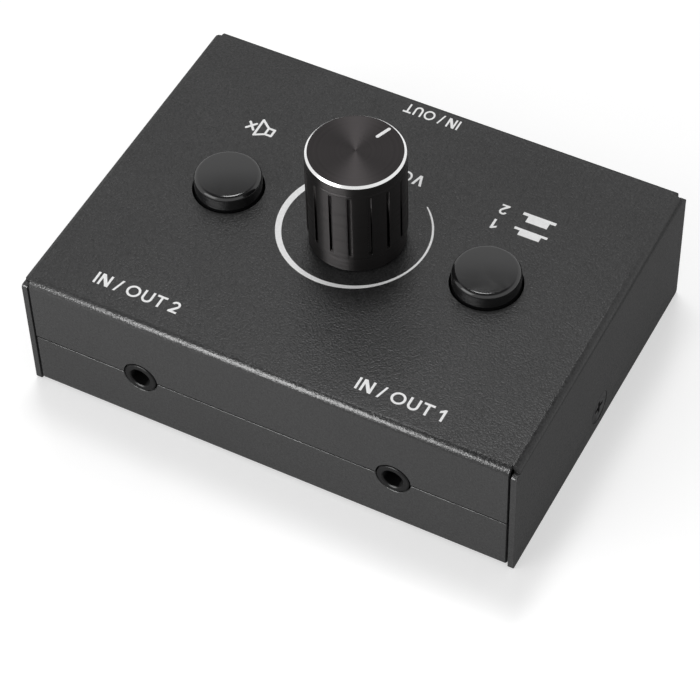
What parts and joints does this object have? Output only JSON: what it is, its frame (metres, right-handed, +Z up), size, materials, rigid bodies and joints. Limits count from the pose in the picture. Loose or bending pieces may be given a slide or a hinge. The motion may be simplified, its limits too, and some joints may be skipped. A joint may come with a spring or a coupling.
{
  "type": "speaker selector switch",
  "caption": "Low black steel box that switches one audio line between two jacks, with a volume knob, a selector button and a mute button on top.",
  "frame": {"origin": "centre of the case's underside", "axes": "+Z up out of the top face, +X along the case's width with the selector button on that side, -Y out of the wall with the two numbered jacks, +Y out of the wall with the common jack"},
  "size_m": [0.088, 0.0654, 0.0445],
  "materials": {
    "case": "black powder coat with a fine leather grain",
    "black_screw": "black oxide",
    "board": "green solder mask",
    "plated_steel": "bright zinc plate",
    "jack": "black moulded, satin",
    "contact": "tinned brass",
    "switch_body": "black moulded",
    "plunger": "white moulded",
    "spring": "spring wire",
    "pot_plastic": "black moulded",
    "wafer": "phenolic laminate with carbon tracks",
    "shaft": "turned",
    "knob": "black anodised with a bright cut edge",
    "button": "black, polished"
  },
  "bodies": {
    "case": {"top_cover": "case", "bottom_tray": "case", "cover_screws": "black_screw", "circuit_board": "board", "board_standoffs": "plated_steel", "board_screws": "plated_steel", "jack_1_housing": "jack", "jack_1_contacts": "contact", "jack_2_housing": "jack", "jack_2_contacts": "contact", "jack_common_housing": "jack", "jack_common_contacts": "contact", "select_switch_housing": "switch_body", "select_switch_terminals": "contact", "select_switch_latch": "plated_steel", "select_switch_spring": "spring", "mute_switch_housing": "switch_body", "mute_switch_terminals": "contact", "mute_switch_latch": "plated_steel", "mute_switch_spring": "spring", "pot_strap": "plated_steel", "pot_rear_plate": "pot_plastic", "pot_wafers": "wafer", "pot_spacers": "pot_plastic", "pot_bushing": "plated_steel", "pot_terminals": "contact", "pot_washer": "plated_steel", "pot_nut": "plated_steel"},
    "volume_knob": {"knob_shell": "knob", "knob_core": "pot_plastic", "pot_shaft": "shaft", "pot_rotors": "pot_plastic", "pot_wipers": "contact"},
    "select_button": {"select_button_cap": "button", "select_switch_plunger": "plunger"},
    "mute_button": {"mute_button_cap": "button", "mute_switch_plunger": "plunger"}
  },
  "joints": [
    {"name": "volume_turn", "type": "hinge", "parent": "case", "child": "volume_knob", "pos_m": [0.0002, -0.0001, 0.0246], "axis": [0, 0, 1], "range_deg": [-300, 0]},
    {"name": "select_press", "type": "slide", "parent": "case", "child": "select_button", "axis": [0, 0, -1], "range_m": [0, 0.0025], "stiffness_N_per_m": 400, "springref_m": -0.0015, "deforming": ["select_switch_spring"]},
    {"name": "mute_press", "type": "slide", "parent": "case", "child": "mute_button", "axis": [0, 0, -1], "range_m": [0, 0.0025], "stiffness_N_per_m": 400, "springref_m": -0.0015, "deforming": ["mute_switch_spring"]}
  ]
}
